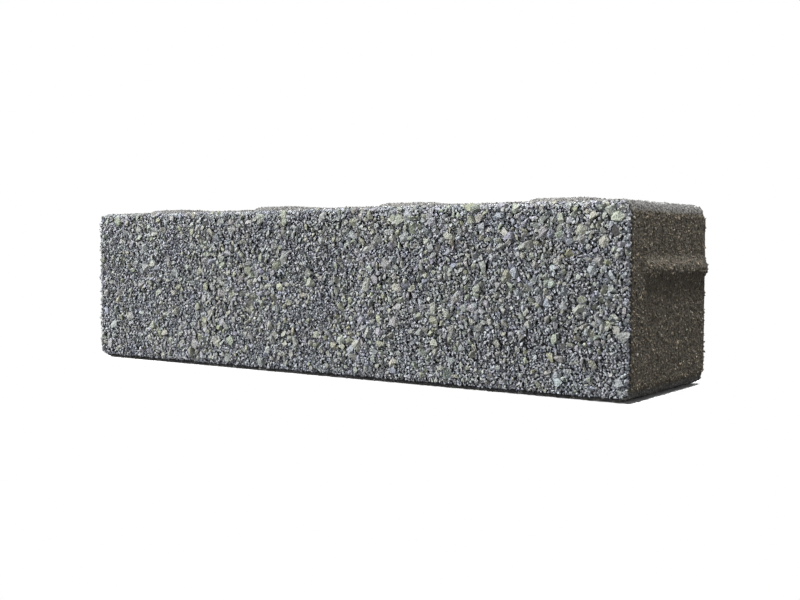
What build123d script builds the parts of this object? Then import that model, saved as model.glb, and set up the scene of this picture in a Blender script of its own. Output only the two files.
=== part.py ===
"""Long-format concrete paver with spacer ribs, lying on one long side, wearing face forward.

Millimetres. +X runs along the length, -Y is the exposed-aggregate wearing face, +Y is the bed face
that goes down on the sand, and +Z is up. The origin is the middle of the plain long side that the
paver lies on.
"""

import math
import os

from build123d import *

# Block
FACE_LENGTH = 320.0
FACE_WIDTH = 80.0
THICKNESS = 80.0
CORNER_RADIUS = 6.0
ARRIS_RADIUS = 2.5

# Spacer ribs, on two adjoining sides: they start behind the wearing face and run out through the bed face
SPACER_HEIGHT = 2.0
SPACER_SETBACK = 13.0

# Broad ribs on the upper long side, one in the middle of each paving module
LONG_RIB_PITCH = 80.0
LONG_RIB_COUNT = 4
LONG_RIB_BASE = 34.0
LONG_RIB_CREST = 25.0
LONG_RIB_NOSE_RADIUS = 6.0

# Narrow rib on the right end, above the middle
END_RIB_OFFSET = 12.0
END_RIB_BASE = 10.0
END_RIB_CREST = 3.0
END_RIB_NOSE_RADIUS = 4.5

# Worked out from the sizes above
mid_height = FACE_WIDTH / 2
wearing_y = -THICKNESS / 2
bed_y = THICKNESS / 2
rib_front_y = wearing_y + SPACER_SETBACK
# The block and its ribs are made this much too thick, and the spare is cut away at the bed face.
trim = LONG_RIB_BASE
rib_length = bed_y + trim - rib_front_y
rib_mid_y = rib_front_y + rib_length / 2


def flank_angle(base, crest):
    """Lean of a rib's flanks from upright, in degrees."""
    return math.degrees(math.atan2((base - crest) / 2, SPACER_HEIGHT))


def rib_footprint(base, nose_radius):
    """A rib's outline on the side that carries it, with its front corners rounded."""
    outline = Rectangle(base, rib_length)
    front_corners = outline.vertices().group_by(Axis.Y)[0]
    fillet(front_corners, nose_radius)


face_centre = Vector(0, wearing_y, mid_height)
face_plane = Plane(face_centre, x_dir=(1, 0, 0), z_dir=(0, -1, 0))

# The y axis of each ribbed side's plane points from the wearing face to the bed face.
upper_side = Plane((0, rib_mid_y, FACE_WIDTH), x_dir=(1, 0, 0), z_dir=(0, 0, 1))
right_end = Plane((FACE_LENGTH / 2, rib_mid_y, mid_height), x_dir=(0, 0, -1), z_dir=(1, 0, 0))

with BuildPart() as paver:
    with BuildSketch(face_plane):
        RectangleRounded(FACE_LENGTH, FACE_WIDTH, CORNER_RADIUS)
    extrude(amount=-(THICKNESS + trim))
    fillet(paver.faces().sort_by(Axis.Y)[0].edges(), ARRIS_RADIUS)

    with BuildSketch(upper_side):
        with GridLocations(LONG_RIB_PITCH, 0, LONG_RIB_COUNT, 1):
            rib_footprint(LONG_RIB_BASE, LONG_RIB_NOSE_RADIUS)
    extrude(amount=SPACER_HEIGHT, taper=flank_angle(LONG_RIB_BASE, LONG_RIB_CREST))

    with BuildSketch(right_end):
        with Locations((-END_RIB_OFFSET, 0)):
            rib_footprint(END_RIB_BASE, END_RIB_NOSE_RADIUS)
    extrude(amount=SPACER_HEIGHT, taper=flank_angle(END_RIB_BASE, END_RIB_CREST))

    # The bed face is one flat cut through the block and the ends of its ribs.
    split(bisect_by=Plane((0, bed_y, 0), z_dir=(0, 1, 0)), keep=Keep.BOTTOM)

paver.part.label = "paver"
os.makedirs("parts", exist_ok=True)
export_step(paver.part, "parts/paver.step")
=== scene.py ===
"""Looks of the concrete paver: a cast block with sandy sides and a wearing face of exposed stone chips.

Metres, in the row frame: +X along the length, -Y the wearing face, +Y the bed face, +Z up. A length that is
written in millimetres is turned into metres by MM.
"""

import math
from collections import namedtuple

import bmesh
import bpy
import numpy as np
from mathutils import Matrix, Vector, noise


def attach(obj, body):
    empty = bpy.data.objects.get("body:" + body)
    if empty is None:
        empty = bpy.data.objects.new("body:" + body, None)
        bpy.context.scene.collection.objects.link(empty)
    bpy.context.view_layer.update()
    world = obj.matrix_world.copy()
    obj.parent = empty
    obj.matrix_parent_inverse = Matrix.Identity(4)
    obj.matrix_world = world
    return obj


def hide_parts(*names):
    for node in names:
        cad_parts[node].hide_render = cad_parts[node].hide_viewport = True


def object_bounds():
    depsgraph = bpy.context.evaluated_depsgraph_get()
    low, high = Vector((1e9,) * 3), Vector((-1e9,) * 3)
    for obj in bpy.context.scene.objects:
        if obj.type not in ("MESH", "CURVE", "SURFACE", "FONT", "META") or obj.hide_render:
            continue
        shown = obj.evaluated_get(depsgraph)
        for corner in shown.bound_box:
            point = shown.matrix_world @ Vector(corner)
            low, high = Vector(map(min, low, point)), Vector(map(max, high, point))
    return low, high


MM = 0.001
TINY = 1e-9
NODE = "paver"
BODY = "root"
BAKE_UV = "OFBake"
TINT_ATTRIBUTE = "tint"
SEED = 20240

# Edges of the block, as in the solid, how close to the wearing face's flat a point counts as on it, and how
# far round the arris that face goes: less far at the ends, and with its chips only a little way low down,
# where the block lies, so that the cement between them, painted dark as painted shade, shows along the foot
ARRIS_RADIUS = 2.5 * MM
CORNER_RADIUS = 6.0 * MM
FLAT_TOLERANCE = 0.01 * MM
END_TURN_DEG, LONG_TURN_DEG, LOWER_CHIP_TURN_DEG = 65, 88, 18
TURN_BLEND_DEG = (10, -28)

# Cast surface of the block: gentle swells, small clumps, how deep it lies below the solid's faces, and the
# gap between its sides on the texture sheet
GRID_STEP = 1.25 * MM
SWELL_STEP, SWELL_HEIGHT = 14 * MM, 0.12 * MM
CLUMP_STEP, CLUMP_HEIGHT = 3.4 * MM, 0.22 * MM
SIDE_RECESS = 0.35 * MM
MATRIX_RECESS = 1.8 * MM
UNFOLD_GAP = 4 * MM

# Shifts that keep the noises apart
CLUMP_SHIFT, GROUP_SHIFT, OLIVE_SHIFT, GREEN_SHIFT = 7.3, 5.7, 3.1, 4.1

# Loose bits on the surface, by grade: size across, how many corners a bit has, how flat it is, how far its
# top stands out from where it lies and how much that varies, and how much it leans, in radians
Grade = namedtuple("Grade", "size corners flat_share top top_spread lean")
COARSE = Grade(
    size=(2.8 * MM, 7.5 * MM), corners=9, flat_share=0.40, top=0.55 * MM, top_spread=0.30 * MM, lean=0.34
)
MEDIUM = Grade(
    size=(1.5 * MM, 3.2 * MM), corners=7, flat_share=0.54, top=0.0, top_spread=0.32 * MM, lean=0.48
)
FINE = Grade(
    size=(1.0 * MM, 1.8 * MM), corners=6, flat_share=0.62, top=-0.55 * MM, top_spread=0.34 * MM, lean=0.58
)
SAND = Grade(
    size=(0.9 * MM, 2.0 * MM), corners=6, flat_share=0.50, top=0.30 * MM, top_spread=0.10 * MM, lean=0.30
)
PRESSED_SAND = SAND._replace(top=0.0, top_spread=0.08 * MM)

# Shapes of the bits: how many each grade has, the turn that spreads corners evenly over a ball, how unevenly
# they are spread in the end, how narrow a bit is, how far up or down a normal points that counts as upright,
# and how far a bit fills its cell of the texture sheet
SHAPES_PER_GRADE = 60
GOLDEN_TURN = math.pi * (3 - math.sqrt(5))
UNEVEN_SHARE = 0.25
NARROW_SHARES = (0.5, 0.95)
UPRIGHT_SHARE = 0.9
CELL_REACH_SHARE = 0.42

# How the chips lie on the wearing face: the two larger grades are strewn, small ones more often, and gather
# in loose groups; the fine grade fills an uneven grid between them; round the arris all are sunk a little
COARSE_COUNT = 1150
MEDIUM_COUNT = 8000
SMALL_POWER = 2
OVERLAP_SHARE = 0.5
SPOT_TRIES = 12
GROUP_STEP = 34 * MM
GROUP_BLEND = (-0.3, 0.3)
LONE_SHARE = 0.3
FILL_STEP = 0.98 * MM
FILL_JITTER_SHARE = 0.35
FILL_COVER_SHARE = 0.2
GAP_SHARE = 0.1
ARRIS_SINK = 0.5 * MM

# How the sand lies on the other sides: how much of it stays and how far it strays. There is none on the
# wearing face, nor where the surface looks part of the way to the back, on the bed face's sharp edges.
SAND_SHARE = 0.7
SAND_JITTER_SHARE = 0.45
BARE_WEARING_SHARE = 0.2
BARE_EDGE_SHARES = (0.25, 0.97)

# Stone colours: a grey, how pale and how olive each grade is, and tints from olive to blue and from green to
# violet, which gather in patches. How pale each grade is holds painted shade: the coarse chips, which stand
# proud in full light, are painted darker, and the finer ones a little paler to make up for it
STONE_GREY = (0.588, 0.600, 0.615)
STONE_SPREAD = 0.14
Tint = namedtuple("Tint", "tone olive spread")
COARSE_TINT = Tint(tone=0.75, olive=0.42, spread=0.32)
MEDIUM_TINT = Tint(tone=1.01, olive=0.06, spread=0.20)
FINE_TINT = Tint(tone=1.03, olive=-0.16, spread=0.12)
OLIVE_TINT, GREEN_TINT = (0.11, 0.09, -0.22), (-0.06, 0.07, -0.03)
TINT_PATCH_STEP, TINT_PATCH_SHARE = 13 * MM, 0.26
DARKEST, PALEST = 0.02, 0.85

# Sand colours on the ends and the bed face with their shares, and the paler, greyer one of the long sides,
# which begin where the surface looks part of the way up or down; that paler colour is painted light, a lit
# copy of the sand standing for strong light from above, and the lower long side takes it too
SAND_COLOURS = (
    (0.484, 0.447, 0.388),
    (0.472, 0.447, 0.385),
    (0.489, 0.445, 0.393),
    (0.600, 0.580, 0.540),
    (0.260, 0.246, 0.222),
)
SAND_SHARES = (0.34, 0.24, 0.24, 0.08, 0.10)
SAND_SPREAD = 0.36
LONG_SIDE_PAINTED_LIGHT_COLOUR = (0.55, 0.55, 0.545)
LONG_SIDE_PAINTED_LIGHT_SHARE = 0.95
LONG_SIDE_SPREAD_SHARE = 0.5
LONG_SIDE_FROM_SHARES = (0.15, 0.55)

# Cement, from its darkest to its palest: under the sand of the ends and the bed face, under that of the long
# sides, painted paler as painted light from above, and between the chips, painted darker than its own grey
# as painted shade in the crevices; and the shares from which a face of the block takes the last two
PASTE_COLOURS = ((0.25, 0.238, 0.215), (0.45, 0.425, 0.385))
PAINTED_LIGHT_PASTE_COLOURS = ((0.31, 0.305, 0.30), (0.49, 0.485, 0.475))
MATRIX_PAINTED_SHADE_COLOURS = ((0.17, 0.17, 0.18), (0.28, 0.28, 0.29))
PAINTED_LIGHT_FROM_SHARE = 0.3
MATRIX_FROM_SHARE = 0.5

# Surfaces: the size of the grain, the height of its bumps, and how rough and how shiny it is
Finish = namedtuple("Finish", "grain bump roughness specular")
STONE_FINISH = Finish(grain=0.7 * MM, bump=0.7 * MM, roughness=0.4, specular=0.35)
SAND_FINISH = Finish(grain=0.6 * MM, bump=1.2 * MM, roughness=0.9, specular=0.2)
PASTE_FINISH = Finish(grain=1.2 * MM, bump=1.2 * MM, roughness=0.95, specular=0.2)
MATRIX_FINISH = Finish(grain=2 * MM, bump=1 * MM, roughness=0.95, specular=0.2)

# Mottling: the range that most of a shader's noise lies in, where the cement's two colours lie in it, and
# how far the noise darkens and brightens stone and sand
NOISE_DETAIL = 3
MID_NOISE = (0.3, 0.7)
RAMP_STOPS = (0.35, 0.65)
STONE_MOTTLE_SHARES = (0.55, 1.45)
SAND_SPECK_SHARES = (0.4, 1.6)
SAND_PATCH_STEP, SAND_PATCH_SHARES = 14 * MM, (0.85, 1.15)

# Camera, fitted to the photograph's 800 x 600 frame
FRAME_WIDTH_PX = 800
FOCAL_PX = 1056.6
SENSOR_WIDTH_MM = 36.0
CAMERA_PLACE = Vector((327.2, -420.2, 60.1)) * MM
CAMERA_YAW_DEG = -36.09
CAMERA_PITCH_DEG = 2.73
CLIP_NEAR, CLIP_FAR = 0.01, 100.0

# Studio: the floor's shade as light on the object and as seen, over what distance the object's shadow fades
# into plain white, how far before and behind the object it is kept, how bright the surround is as light and
# as seen, and the lamps with their width and power in watts
FLOOR_HALF = 6.0
FLOOR_LIT_SHADE, FLOOR_SEEN_SHADE = 0.05, 0.9
SHADOW_FADE = (0, 1.5 * MM)
SHADOW_BEHIND = 15 * MM
SURROUND_LIT, SURROUND_SEEN = 0.09, 1.0
Lamp = namedtuple("Lamp", "name place size power")
LAMPS = (
    Lamp(name="over_end", place=(0.245, 0.0, 0.54), size=0.10, power=4.3),
    Lamp(name="right", place=(1.50, -0.30, 0.50), size=0.80, power=2.2),
    Lamp(name="upper_left", place=(-1.44, -1.00, 1.00), size=0.18, power=88.0),
    Lamp(name="front", place=(0.35, -1.80, 0.25), size=0.50, power=8.5),
    Lamp(name="behind", place=(-0.70, 1.20, 0.45), size=0.60, power=24.0),
)

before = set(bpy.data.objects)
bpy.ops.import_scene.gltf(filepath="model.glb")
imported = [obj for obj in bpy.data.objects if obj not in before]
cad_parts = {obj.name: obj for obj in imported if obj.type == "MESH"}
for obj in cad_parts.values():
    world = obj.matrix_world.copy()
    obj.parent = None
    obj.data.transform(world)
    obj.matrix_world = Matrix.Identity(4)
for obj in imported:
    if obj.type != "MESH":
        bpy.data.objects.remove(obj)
cad_low, cad_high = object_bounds()
rng = np.random.default_rng(SEED)


def linear(srgb):
    """An sRGB colour, 0 to 1, as the linear colour that shaders take."""
    c = np.asarray(srgb, float)
    return np.where(c <= 0.04045, c / 12.92, ((c + 0.055) / 1.055) ** 2.4)


def mesh_points(mesh):
    co = np.empty(len(mesh.vertices) * 3)
    mesh.vertices.foreach_get("co", co)
    return co.reshape(-1, 3)


def vertex_normals(mesh):
    found = np.empty(len(mesh.vertices) * 3, np.float32)
    mesh.vertex_normals.foreach_get("vector", found)
    return found.reshape(-1, 3).astype(float)


def add_object(name, data):
    made = bpy.data.objects.new(name, data)
    bpy.context.scene.collection.objects.link(made)
    return made


def smoothstep(low, high, x):
    t = np.clip((x - low) / (high - low), 0, 1)
    return t * t * (3 - 2 * t)


def noise_at(points, step, shift=0.0):
    """Smooth noise from about -1 to 1, with features about one step across."""
    return np.array([noise.noise(Vector(p / step + shift)) for p in points])


def unit(vectors):
    return vectors / np.maximum(np.linalg.norm(vectors, axis=-1, keepdims=True), TINY)


# Where the flat of the wearing face ends and its arris begins
cad_points = mesh_points(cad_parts[NODE].data)
face_y = cad_low.y
on_face = cad_points[:, 1] < face_y + FLAT_TOLERANCE
flat_low, flat_high = cad_points[on_face].min(0), cad_points[on_face].max(0)
face_middle = ((flat_low + flat_high) / 2)[[0, 2]]
face_half = ((flat_high - flat_low) / 2)[[0, 2]]


def arris_turn(across, lower_deg):
    """How far round the arris something goes, in radians, for ways out across the face."""
    long_share = across[:, 1] ** 2 / np.maximum((across ** 2).sum(1), TINY)
    long_deg = np.where(across[:, 1] < 0, lower_deg, LONG_TURN_DEG)
    return np.radians(END_TURN_DEG + (long_deg - END_TURN_DEG) * long_share)


def wearing_share(at, out):
    """1 where a point of the block belongs to the wearing face, 0 where it is on a side."""
    in_front = at[:, 1] < face_y + ARRIS_RADIUS
    turn = np.arccos(np.clip(-out[:, 1], -1, 1))
    past, before = np.radians(TURN_BLEND_DEG)
    limit = arris_turn(out[:, [0, 2]], LONG_TURN_DEG)
    return in_front * smoothstep(limit + past, limit + before, turn)


# Where the sand and the paste take their painted light
def long_side_share(at, out):
    """1 where a point of the block is on a long side, 0 where it is on an end or the bed face."""
    from_edge = np.minimum(at[:, 2] - cad_low.z, cad_high.z - at[:, 2])
    looks_along = smoothstep(*LONG_SIDE_FROM_SHARES, np.abs(out[:, 2]))
    return (from_edge < CORNER_RADIUS + ARRIS_RADIUS) * looks_along


def even_grid():
    """A copy of the solid's mesh as an even grid of small four-sided faces."""
    smooth = add_object("smooth_block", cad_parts[NODE].data.copy())
    even = smooth.modifiers.new("even_grid", "REMESH")
    even.mode = "VOXEL"
    even.voxel_size = GRID_STEP
    bpy.context.view_layer.update()
    shown = smooth.evaluated_get(bpy.context.evaluated_depsgraph_get())
    mesh = bpy.data.meshes.new_from_object(shown)
    mesh.name = "cast_block"
    bpy.data.objects.remove(smooth)
    return mesh


def unfolded(at, out, corners):
    """Texture places for four-sided faces: each of the block's six sides laid out flat on one sheet."""
    middle_out = out[corners].mean(1)
    axis = np.abs(middle_out).argmax(1)
    positive = np.take_along_axis(middle_out, axis[:, None], 1)[:, 0] > 0
    size = at.max(0) - at.min(0)
    row_height = max(size[1], size[2]) + UNFOLD_GAP
    # The sheet's rows for the two sides along each axis: the ends share one, each other side has its own.
    rows = {0: (0, 0), 1: (1, 2), 2: (3, 4)}
    row_count = len(rows) * 2 - 1
    flat_axes = {0: (1, 2), 1: (0, 2), 2: (0, 1)}
    uv = np.empty((len(corners), 4, 2))
    for side, (across, up) in flat_axes.items():
        for away in (0, 1):
            chosen = (axis == side) & (positive == bool(away))
            points = at[corners[chosen]] - at.min(0)
            column = away if side == 0 else 0
            uv[chosen, :, 0] = points[..., across] + column * row_height
            uv[chosen, :, 1] = points[..., up] + rows[side][away] * row_height
    return uv / row_count / row_height


def cast_block():
    """The block, gently uneven, with its points, their normals and their shares in the wearing face."""
    mesh = even_grid()
    at, out = mesh_points(mesh), vertex_normals(mesh)
    corners = np.empty(len(mesh.loops), np.int32)
    mesh.loops.foreach_get("vertex_index", corners)
    corners = corners.reshape(-1, 4)
    wearing = wearing_share(at, out)
    uv = mesh.uv_layers.new(name=BAKE_UV)
    uv.uv.foreach_set("vector", unfolded(at, out, corners).astype(np.float32).ravel())

    lift = SWELL_HEIGHT * noise_at(at, SWELL_STEP)
    lift += CLUMP_HEIGHT * noise_at(at, CLUMP_STEP, CLUMP_SHIFT)
    lift -= SIDE_RECESS + (MATRIX_RECESS - SIDE_RECESS) * wearing
    at += out * lift[:, None]
    at[:, 2] = np.maximum(at[:, 2], cad_low.z)
    mesh.vertices.foreach_set("co", at.ravel())
    mesh.polygons.foreach_set("use_smooth", np.ones(len(mesh.polygons), bool))

    # The wearing face's cement between its chips, painted darker than it is as painted shade in the
    # crevices, is the second material, and the paste of the long sides, painted paler as painted light from
    # above, the third.
    mesh.materials.clear()
    mesh.materials.append(cement_material("cement_paste", PASTE_COLOURS, PASTE_FINISH))
    mesh.materials.append(cement_material("cement_matrix_painted_shade", MATRIX_PAINTED_SHADE_COLOURS, MATRIX_FINISH))
    mesh.materials.append(cement_material("painted_light_paste", PAINTED_LIGHT_PASTE_COLOURS, PASTE_FINISH))
    painted_light_faces = long_side_share(at, out)[corners].mean(1) > PAINTED_LIGHT_FROM_SHARE
    matrix = wearing[corners].mean(1) > MATRIX_FROM_SHARE
    material = np.where(matrix, 1, np.where(painted_light_faces, 2, 0))
    mesh.polygons.foreach_set("material_index", material.astype(np.int32))
    mesh.update()
    return add_object("cast_block", mesh), at, out, wearing


def angular_shape(grade, seed):
    """One angular bit about 2 across: the hull of a few corners, unevenly spread on a flattened ball."""
    draw = np.random.default_rng(seed)
    order = np.arange(grade.corners) + 0.5
    height = 1 - 2 * order / grade.corners
    turn = GOLDEN_TURN * order
    width = np.sqrt(1 - height ** 2)
    ball = np.stack([width * np.cos(turn), width * np.sin(turn), height], axis=-1)
    spin, _ = np.linalg.qr(draw.normal(size=(3, 3)))
    p = unit(ball @ spin + draw.normal(0, UNEVEN_SHARE, ball.shape))
    p *= (1, draw.uniform(*NARROW_SHARES), grade.flat_share)
    hull = bmesh.new()
    for q in p:
        hull.verts.new(q)
    bmesh.ops.convex_hull(hull, input=hull.verts)
    loose = [v for v in hull.verts if not v.link_faces]
    bmesh.ops.delete(hull, geom=loose, context="VERTS")
    bmesh.ops.triangulate(hull, faces=hull.faces)
    hull.verts.index_update()
    co = np.array([v.co for v in hull.verts])
    faces = np.array([[v.index for v in f.verts] for f in hull.faces])
    hull.free()
    return co, faces


def axis_turns(axis, angle):
    """Rotation matrices about one axis, one for each angle."""
    first, second = (axis + 1) % 3, (axis + 2) % 3
    turns = np.tile(np.eye(3), (len(angle), 1, 1))
    turns[:, first, first] = turns[:, second, second] = np.cos(angle)
    turns[:, second, first] = np.sin(angle)
    turns[:, first, second] = -np.sin(angle)
    return turns


def standing_frames(out):
    """Rotation matrices that stand the z axis along each outward normal."""
    upright = np.abs(out[:, 2:]) > UPRIGHT_SHARE
    across = unit(np.cross(np.where(upright, (1.0, 0, 0), (0, 0, 1.0)), out))
    return np.stack([across, np.cross(out, across), out], axis=-1)


def leaning_turns(grade, count):
    """Rotation matrices that turn bits any way round and then tip them a little."""
    tip = axis_turns(0, rng.normal(0, grade.lean, count))
    roll = axis_turns(1, rng.normal(0, grade.lean, count))
    return tip @ roll @ axis_turns(2, rng.uniform(0, 2 * math.pi, count))


def joined_piece(name, points, faces, spots, tints, material):
    """One piece of many bits, from lists of their points, faces, texture places and colours."""
    points = np.concatenate(points)
    points[:, 2] = np.maximum(points[:, 2], cad_low.z)
    tints = np.concatenate(tints)
    mesh = bpy.data.meshes.new(name)
    mesh.from_pydata(points, [], np.concatenate(faces).tolist())
    tint = mesh.color_attributes.new(TINT_ATTRIBUTE, "FLOAT_COLOR", "POINT")
    tint.data.foreach_set("color", np.c_[tints, np.ones(len(tints))].astype(np.float32).ravel())
    uv = mesh.uv_layers.new(name=BAKE_UV)
    uv.uv.foreach_set("vector", np.concatenate(spots).astype(np.float32).ravel())
    mesh.materials.append(material)
    piece = add_object(name, mesh)
    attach(piece, BODY)


def strewn_bits(name, place, out, radius, colours, grade, material):
    """A piece of angular bits, one at each place, each with a colour and a texture cell of its own."""
    count = len(place)
    shapes = [angular_shape(grade, k) for k in range(SHAPES_PER_GRADE)]
    kind = rng.integers(len(shapes), size=count)
    turned = leaning_turns(grade, count)
    top = rng.normal(grade.top, grade.top_spread, count)
    frames = standing_frames(out)
    cells = math.ceil(math.sqrt(count))

    points, faces, spots, tints = [], [], [], []
    first = 0
    for k, (co, tris) in enumerate(shapes):
        chosen = np.flatnonzero(kind == k)
        local = np.einsum("nij,vj->nvi", turned[chosen], co) * radius[chosen, None, None]
        local[..., 2] += (top[chosen] - local[..., 2].max(1))[:, None]
        placed = np.einsum("nij,nvj->nvi", frames[chosen], local) + place[chosen, None]
        points.append(placed.reshape(-1, 3))
        starts = first + len(co) * np.arange(len(chosen))
        faces.append((tris[None] + starts[:, None, None]).reshape(-1, 3))
        in_cell = 0.5 + CELL_REACH_SHARE * co[:, :2] / np.abs(co[:, :2]).max()
        cell = np.stack([chosen % cells, chosen // cells], axis=-1)
        spots.append(((cell[:, None] + in_cell) / cells)[:, tris].reshape(-1, 2))
        tints.append(np.repeat(colours[chosen], len(co), axis=0))
        first += len(co) * len(chosen)
    joined_piece(name, points, faces, spots, tints, material)


# The wearing face unrolled: a straight-sided core, the rest of its flat with round corners, then the arris
flat_corner = CORNER_RADIUS - ARRIS_RADIUS
core_half = face_half - flat_corner
spot_half = core_half + flat_corner + ARRIS_RADIUS * math.radians(LONG_TURN_DEG)


def past_core(q):
    """The nearest points of the unrolled face's core, the way out from them and how far it is."""
    core = np.clip(q, -core_half, core_half)
    return core, unit(q - core), np.linalg.norm(q - core, axis=1)


def chip_room(q):
    """How far points of the unrolled face lie inside the edge of the chips."""
    _, side, distance = past_core(q)
    return flat_corner + ARRIS_RADIUS * arris_turn(side, LOWER_CHIP_TURN_DEG) - distance


def wrapped(q):
    """Places and outward normals for points of the unrolled face, sunk a little round the arris."""
    core, side, distance = past_core(q)
    turn = np.maximum(distance - flat_corner, 0) / ARRIS_RADIUS
    reach = np.minimum(distance, flat_corner) + ARRIS_RADIUS * np.sin(turn)
    place = np.empty((len(q), 3))
    place[:, [0, 2]] = core + side * reach[:, None] + face_middle
    place[:, 1] = face_y + ARRIS_RADIUS * (1 - np.cos(turn))
    out = np.empty((len(q), 3))
    out[:, [0, 2]] = side * np.sin(turn)[:, None]
    out[:, 1] = -np.cos(turn)
    return place - out * (ARRIS_SINK * np.sin(turn))[:, None], out


class Taken:
    """The spots of the unrolled face that already hold a chip."""

    CELL = 2.0 * MM

    def __init__(self):
        self.cells = {}
        self.widest = 0.0

    def free(self, x, z, r):
        i, j = int(x // self.CELL), int(z // self.CELL)
        reach = math.ceil((r + self.widest) / self.CELL)
        for a in range(i - reach, i + reach + 1):
            for b in range(j - reach, j + reach + 1):
                for u, v, s in self.cells.get((a, b), ()):
                    if (x - u) ** 2 + (z - v) ** 2 < (OVERLAP_SHARE * (r + s)) ** 2:
                        return False
        return True

    def add(self, x, z, r):
        self.cells.setdefault((int(x // self.CELL), int(z // self.CELL)), []).append((x, z, r))
        self.widest = max(self.widest, r)


def gathered(q):
    """True at the spots that a chip takes: most of those in a group, and few between the groups."""
    group = noise_at(np.c_[q, np.zeros(len(q))], GROUP_STEP, GROUP_SHIFT)
    return rng.random(len(q)) < LONE_SHARE + (1 - LONE_SHARE) * smoothstep(*GROUP_BLEND, group)


def scattered(taken, count, grade):
    """Spots for this many chips at random, the widest first, clear of those placed before."""
    spots = []
    least, most = grade.size
    widths = least * (most / least) ** rng.random(count) ** SMALL_POWER
    for r in np.sort(widths)[::-1] / 2:
        tries = rng.uniform(-1, 1, (SPOT_TRIES, 2)) * spot_half
        for x, z in tries[(chip_room(tries) > r) & gathered(tries)]:
            if taken.free(x, z, r):
                taken.add(x, z, r)
                spots.append((x, z, r))
                break
    return np.array(spots)


def filled(taken, grade):
    """Spots for small chips on an uneven grid, wherever the larger ones left room."""
    rows = np.arange(-spot_half[1], spot_half[1], FILL_STEP * math.sin(math.pi / 3))
    columns = np.arange(-spot_half[0], spot_half[0], FILL_STEP)
    x, z = np.meshgrid(columns, rows)
    x[1::2] += FILL_STEP / 2
    spots = np.stack([x.ravel(), z.ravel()], axis=-1)
    spots += rng.uniform(-FILL_JITTER_SHARE, FILL_JITTER_SHARE, spots.shape) * FILL_STEP
    spots = spots[(chip_room(spots) > 0) & (rng.random(len(spots)) > GAP_SHARE)]
    radius = rng.uniform(*grade.size, len(spots)) / 2
    open_spot = [taken.free(u, v, FILL_COVER_SHARE * r) for (u, v), r in zip(spots, radius)]
    return np.c_[spots, radius][open_spot]


def stone_colours(place, tint):
    """A grey for each chip, tinted by its grade, by where it lies and a little by chance."""
    count = len(place)
    olive = tint.olive + TINT_PATCH_SHARE * noise_at(place, TINT_PATCH_STEP, OLIVE_SHIFT)
    olive += rng.normal(0, tint.spread, count)
    green = TINT_PATCH_SHARE * noise_at(place, TINT_PATCH_STEP, GREEN_SHIFT)
    green += rng.normal(0, tint.spread, count)
    shift = 1 + olive[:, None] * OLIVE_TINT + green[:, None] * GREEN_TINT
    # The grade's tone paints the coarse chips darker and the finer ones a little paler: painted shade
    colours = tint.tone * linear(STONE_GREY) * shift * rng.lognormal(0, STONE_SPREAD, (count, 1))
    return np.clip(colours, DARKEST, PALEST)


def wearing_face():
    """Three grades of stone chips, packed over the wearing face and its arris."""
    stone = stone_material()
    taken = Taken()
    layers = [
        ("chips_coarse", COARSE, COARSE_TINT, scattered(taken, COARSE_COUNT, COARSE)),
        ("chips_medium", MEDIUM, MEDIUM_TINT, scattered(taken, MEDIUM_COUNT, MEDIUM)),
        ("chips_fine", FINE, FINE_TINT, filled(taken, FINE)),
    ]
    for name, grade, tint, spots in layers:
        place, out = wrapped(spots[:, :2])
        strewn_bits(name, place, out, spots[:, 2], stone_colours(place, tint), grade, stone)


def sand_colours(at, out):
    """A colour for each sand grain, paler and greyer on the long sides as painted light from above."""
    colours = linear(SAND_COLOURS)[rng.choice(len(SAND_SHARES), len(at), p=SAND_SHARES)]
    painted_light_share = LONG_SIDE_PAINTED_LIGHT_SHARE * long_side_share(at, out)[:, None]
    colours = colours * (1 - painted_light_share) + linear(LONG_SIDE_PAINTED_LIGHT_COLOUR) * painted_light_share
    spread = SAND_SPREAD * (1 - painted_light_share * LONG_SIDE_SPREAD_SHARE)
    return np.clip(colours * rng.lognormal(0, spread), DARKEST, PALEST)


def sandy_sides(at, out, wearing):
    """Sand grains over every side but the wearing face, one piece for each way that the sides look."""
    material = sand_material()
    frames = standing_frames(out)
    jitter = rng.uniform(-SAND_JITTER_SHARE, SAND_JITTER_SHARE, (len(at), 2)) * GRID_STEP
    place = at + frames[:, :, 0] * jitter[:, :1] + frames[:, :, 1] * jitter[:, 1:]
    edge_from, edge_to = BARE_EDGE_SHARES
    on_edge = (out[:, 1] > edge_from) & (out[:, 1] < edge_to)
    kept = (wearing < BARE_WEARING_SHARE) & ~on_edge & (rng.random(len(at)) < SAND_SHARE)
    axis = np.abs(out).argmax(1)
    sides = {
        "sand_ends": (axis == 0, SAND),
        "sand_bed": (axis == 1, SAND),
        "sand_upper": ((axis == 2) & (out[:, 2] > 0), SAND),
        "sand_lower": ((axis == 2) & (out[:, 2] < 0), PRESSED_SAND),
    }
    for name, (on_side, grade) in sides.items():
        chosen = np.flatnonzero(kept & on_side)
        radius = rng.uniform(*grade.size, len(chosen)) / 2
        colours = sand_colours(at[chosen], out[chosen])
        strewn_bits(name, place[chosen], out[chosen], radius, colours, grade, material)


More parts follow.
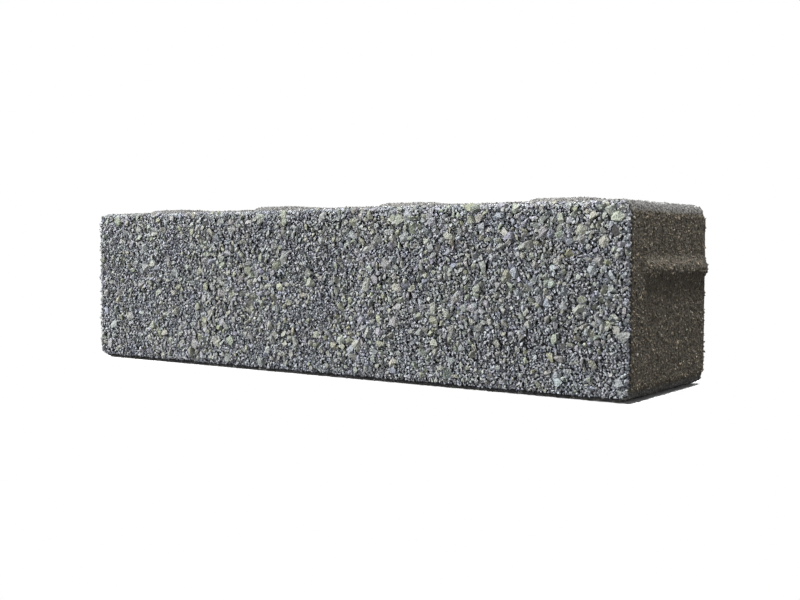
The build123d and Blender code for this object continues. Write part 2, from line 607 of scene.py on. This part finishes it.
class Nodes:
    """A node tree, with short calls for the nodes used here."""

    def __init__(self, owner):
        owner.use_nodes = True
        self.tree = owner.node_tree

    def add(self, kind):
        return self.tree.nodes.new("ShaderNode" + kind)

    def link(self, source, target):
        self.tree.links.new(source, target)

    def place(self):
        return self.add("TexCoord").outputs["Object"]

    def tint(self):
        node = self.add("Attribute")
        node.attribute_name = TINT_ATTRIBUTE
        return node.outputs["Color"]

    def noise(self, place, step):
        node = self.add("TexNoise")
        node.inputs["Scale"].default_value = 1 / step
        node.inputs["Detail"].default_value = NOISE_DETAIL
        self.link(place, node.inputs["Vector"])
        return node.outputs["Fac"]

    def spread(self, value, source, target):
        node = self.add("MapRange")
        node.inputs["From Min"].default_value, node.inputs["From Max"].default_value = source
        node.inputs["To Min"].default_value, node.inputs["To Max"].default_value = target
        self.link(value, node.inputs["Value"])
        return node.outputs["Result"]

    def math(self, operation, a, b):
        node = self.add("Math")
        node.operation = operation
        self.link(a, node.inputs[0])
        self.link(b, node.inputs[1])
        return node.outputs["Value"]

    def vector(self, operation, value, other=(0, 0, 0)):
        node = self.add("VectorMath")
        node.operation = operation
        self.link(value, node.inputs[0])
        node.inputs[1].default_value = other
        return node.outputs["Value" if operation == "LENGTH" else "Vector"]

    def ramp(self, value, colours):
        node = self.add("ValToRGB")
        for element, position, colour in zip(node.color_ramp.elements, RAMP_STOPS, colours):
            element.position = position
            element.color = (*linear(colour), 1)
        self.link(value, node.inputs["Fac"])
        return node.outputs["Color"]

    def times(self, colour, value):
        node = self.add("Mix")
        node.data_type = "RGBA"
        node.blend_type = "MULTIPLY"
        node.inputs["Factor"].default_value = 1
        self.link(colour, node.inputs["A"])
        self.link(value, node.inputs["B"])
        return node.outputs["Result"]

    def looking(self):
        """1 for rays that look at a background, straight or by way of a mirror or glass, 0 for light."""
        path = self.add("LightPath")
        mirrored = self.math("MAXIMUM", path.outputs["Is Glossy Ray"], path.outputs["Is Transmission Ray"])
        return self.math("MAXIMUM", path.outputs["Is Camera Ray"], mirrored)

    def surface(self, colour, height, finish):
        """The material's own shader, with a bumpy surface."""
        shader = self.tree.nodes["Principled BSDF"]
        self.link(colour, shader.inputs["Base Color"])
        node = self.add("Bump")
        node.inputs["Distance"].default_value = finish.bump
        self.link(height, node.inputs["Height"])
        self.link(node.outputs["Normal"], shader.inputs["Normal"])
        shader.inputs["Roughness"].default_value = finish.roughness
        shader.inputs["Specular IOR Level"].default_value = finish.specular


def stone_material():
    """Crushed stone: each chip's own colour, mottled, with a finely broken surface."""
    made = bpy.data.materials.new("crushed_stone")
    n = Nodes(made)
    mottle = n.noise(n.place(), STONE_FINISH.grain)
    colour = n.times(n.tint(), n.spread(mottle, MID_NOISE, STONE_MOTTLE_SHARES))
    n.surface(colour, mottle, STONE_FINISH)
    return made


def sand_material():
    """Sand grains in a skin of cement: dull, each with its own colour."""
    made = bpy.data.materials.new("sand_grains")
    n = Nodes(made)
    place = n.place()
    patch = n.spread(n.noise(place, SAND_PATCH_STEP), MID_NOISE, SAND_PATCH_SHARES)
    speck = n.noise(place, SAND_FINISH.grain)
    tone = n.math("MULTIPLY", patch, n.spread(speck, MID_NOISE, SAND_SPECK_SHARES))
    n.surface(n.times(n.tint(), tone), speck, SAND_FINISH)
    return made


def cement_material(name, colours, finish):
    """Cement: mottled between two colours, dull, and rough with the finest sand."""
    made = bpy.data.materials.new(name)
    n = Nodes(made)
    tone = n.noise(n.place(), finish.grain)
    n.surface(n.ramp(tone, colours), tone, finish)
    return made


def floor_material():
    """Pale floor that keeps the object's shadow close by and is plain white further out."""
    made = bpy.data.materials.new("pale_floor")
    n = Nodes(made)
    looking = n.looking()
    near = n.add("BsdfDiffuse")
    n.link(n.spread(looking, (0, 1), (FLOOR_LIT_SHADE, FLOOR_SEEN_SHADE)), near.inputs["Color"])
    far = n.add("Emission")
    kept_half = (face_half[0] + ARRIS_RADIUS, cad_high.y + SHADOW_BEHIND, 0)
    under = n.vector("SUBTRACT", n.vector("ABSOLUTE", n.place()), kept_half)
    distance = n.vector("LENGTH", n.vector("MAXIMUM", under))
    mixed = n.add("MixShader")
    n.link(n.math("MULTIPLY", n.spread(distance, SHADOW_FADE, (0, 1)), looking), mixed.inputs["Fac"])
    n.link(near.outputs["BSDF"], mixed.inputs[1])
    n.link(far.outputs["Emission"], mixed.inputs[2])
    n.link(mixed.outputs["Shader"], n.tree.nodes["Material Output"].inputs["Surface"])
    return made


def floor():
    mesh = bpy.data.meshes.new("floor")
    around = ((-1, -1), (1, -1), (1, 1), (-1, 1))
    corners = [(x * FLOOR_HALF, y * FLOOR_HALF, cad_low.z) for x, y in around]
    mesh.from_pydata(corners, [], [(0, 1, 2, 3)])
    mesh.materials.append(floor_material())
    add_object("floor", mesh)


def surround():
    """A white surround for the eye and for reflections, which lights the object only a little."""
    world = bpy.data.worlds.new("surround")
    bpy.context.scene.world = world
    n = Nodes(world)
    glow = n.tree.nodes["Background"]
    glow.inputs["Color"].default_value = (1, 1, 1, 1)
    n.link(n.spread(n.looking(), (0, 1), (SURROUND_LIT, SURROUND_SEEN)), glow.inputs["Strength"])


def soft_lamp(lamp):
    """A round lamp that looks at the middle of the object."""
    data = bpy.data.lights.new(lamp.name, "AREA")
    data.shape = "DISK"
    data.size = lamp.size
    data.energy = lamp.power
    made = add_object(lamp.name, data)
    made.location = lamp.place
    made.rotation_mode = "QUATERNION"
    aim = (cad_low + cad_high) / 2 - made.location
    made.rotation_quaternion = aim.to_track_quat("-Z", "Y")


def photo_camera():
    data = bpy.data.cameras.new("photo_camera")
    data.sensor_width = SENSOR_WIDTH_MM
    data.lens = FOCAL_PX * SENSOR_WIDTH_MM / FRAME_WIDTH_PX
    data.clip_start, data.clip_end = CLIP_NEAR, CLIP_FAR
    camera = add_object("photo_camera", data)
    yaw, pitch = math.radians(CAMERA_YAW_DEG), math.radians(CAMERA_PITCH_DEG)
    ahead = Vector((math.sin(yaw) * math.cos(pitch), math.cos(yaw) * math.cos(pitch), -math.sin(pitch)))
    camera.location = CAMERA_PLACE
    camera.rotation_mode = "QUATERNION"
    camera.rotation_quaternion = ahead.to_track_quat("-Z", "Y")
    bpy.context.scene.camera = camera


bpy.context.scene.view_settings.view_transform = "Standard"
photo_camera()
floor()
surround()
for studio_lamp in LAMPS:
    soft_lamp(studio_lamp)

block, block_at, block_out, block_wearing = cast_block()
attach(block, BODY)
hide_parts(NODE)
sandy_sides(block_at, block_out, block_wearing)
wearing_face()
